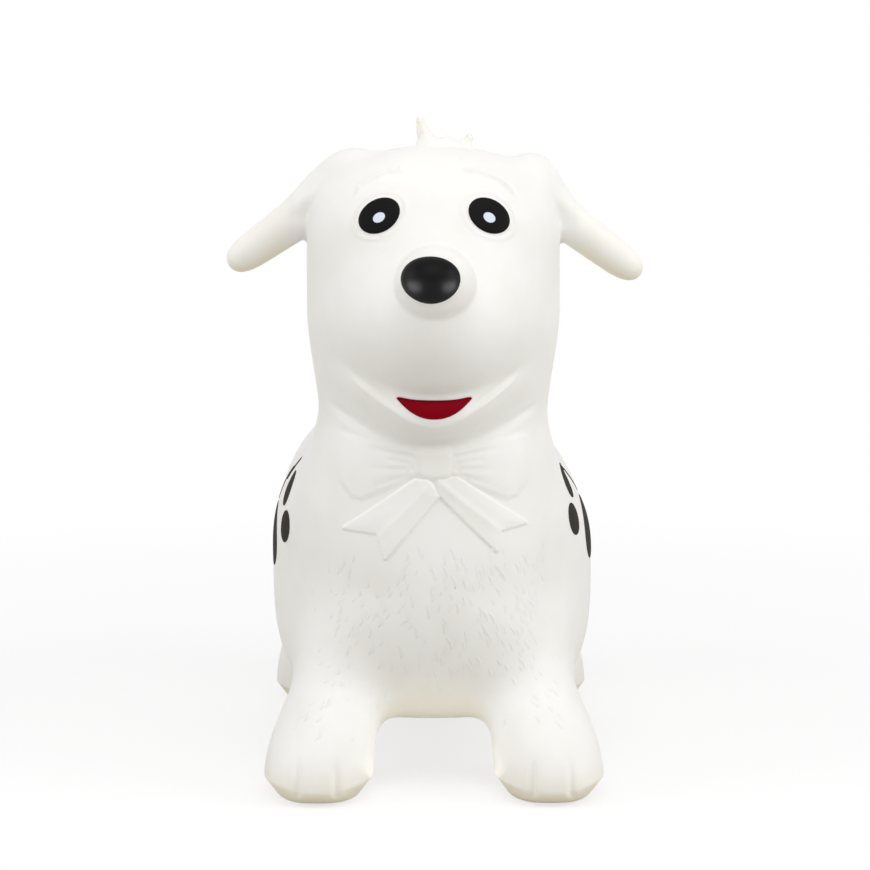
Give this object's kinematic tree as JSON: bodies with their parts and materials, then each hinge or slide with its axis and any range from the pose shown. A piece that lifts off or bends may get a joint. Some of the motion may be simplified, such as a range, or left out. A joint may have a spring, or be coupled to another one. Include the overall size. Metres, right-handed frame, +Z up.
{
  "type": "dog hopper",
  "caption": "Inflatable moulded dog that a child sits on and bounces, held by its bending ears, with a bow in relief, painted face and paw prints, and an air valve plug.",
  "frame": {"origin": "on the floor under the middle of the toy's length and width", "axes": "+Z up, +Y from the muzzle towards the tail, +X towards the dog's own left"},
  "size_m": [0.3106, 0.5553, 0.5],
  "materials": {
    "white_pvc": "satin",
    "black_print": "satin",
    "nose_black": "satin",
    "pale_print": "satin",
    "red_print": "satin",
    "plug_plastic": "matte"
  },
  "bodies": {
    "feet": {"front_left_foot": "white_pvc", "hind_left_foot": "white_pvc", "front_right_foot": "white_pvc", "hind_right_foot": "white_pvc"},
    "body": {"trunk": "white_pvc", "head": "white_pvc", "front_left_leg": "white_pvc", "hind_left_leg": "white_pvc", "front_right_leg": "white_pvc", "hind_right_leg": "white_pvc", "tail": "white_pvc", "hair_tuft": "white_pvc", "bow_knot": "white_pvc", "bow_left_loop": "white_pvc", "bow_left_ribbon": "white_pvc", "bow_right_loop": "white_pvc", "bow_right_ribbon": "white_pvc", "nose": "nose_black", "mouth": "red_print", "valve_seat": "white_pvc", "left_eye": "black_print", "right_eye": "black_print", "left_paw_pad": "black_print", "left_paw_toe_1": "black_print", "left_paw_toe_2": "black_print", "left_paw_toe_3": "black_print", "left_paw_toe_4": "black_print", "right_paw_pad": "black_print", "right_paw_toe_1": "black_print", "right_paw_toe_2": "black_print", "right_paw_toe_3": "black_print", "right_paw_toe_4": "black_print", "left_eye_glint": "pale_print", "right_eye_glint": "pale_print"},
    "left_ear": {"left_ear": "white_pvc"},
    "right_ear": {"right_ear": "white_pvc"},
    "valve_plug": {"valve_plug": "plug_plastic"}
  },
  "joints": [
    {"name": "bounce", "type": "slide", "parent": "feet", "child": "body", "axis": [0, 0, 1], "range_m": [-0.02, 0], "stiffness_N_per_m": 6000, "springref_m": 0.004, "deforming": ["front_left_leg", "hind_left_leg", "front_right_leg", "hind_right_leg"]},
    {"name": "left_ear_flex", "type": "hinge", "parent": "body", "child": "left_ear", "pos_m": [0.0945, -0.132, 0.427], "axis": [0.5736, 0, 0.8192], "range_deg": [-20, 20], "stiffness_Nm_per_rad": 2},
    {"name": "right_ear_flex", "type": "hinge", "parent": "body", "child": "right_ear", "pos_m": [-0.0945, -0.132, 0.427], "axis": [0.5736, 0, -0.8192], "range_deg": [-20, 20], "stiffness_Nm_per_rad": 2},
    {"name": "plug_pull", "type": "slide", "parent": "body", "child": "valve_plug", "axis": [0, 1, 0], "range_m": [0, 0.016]}
  ]
}
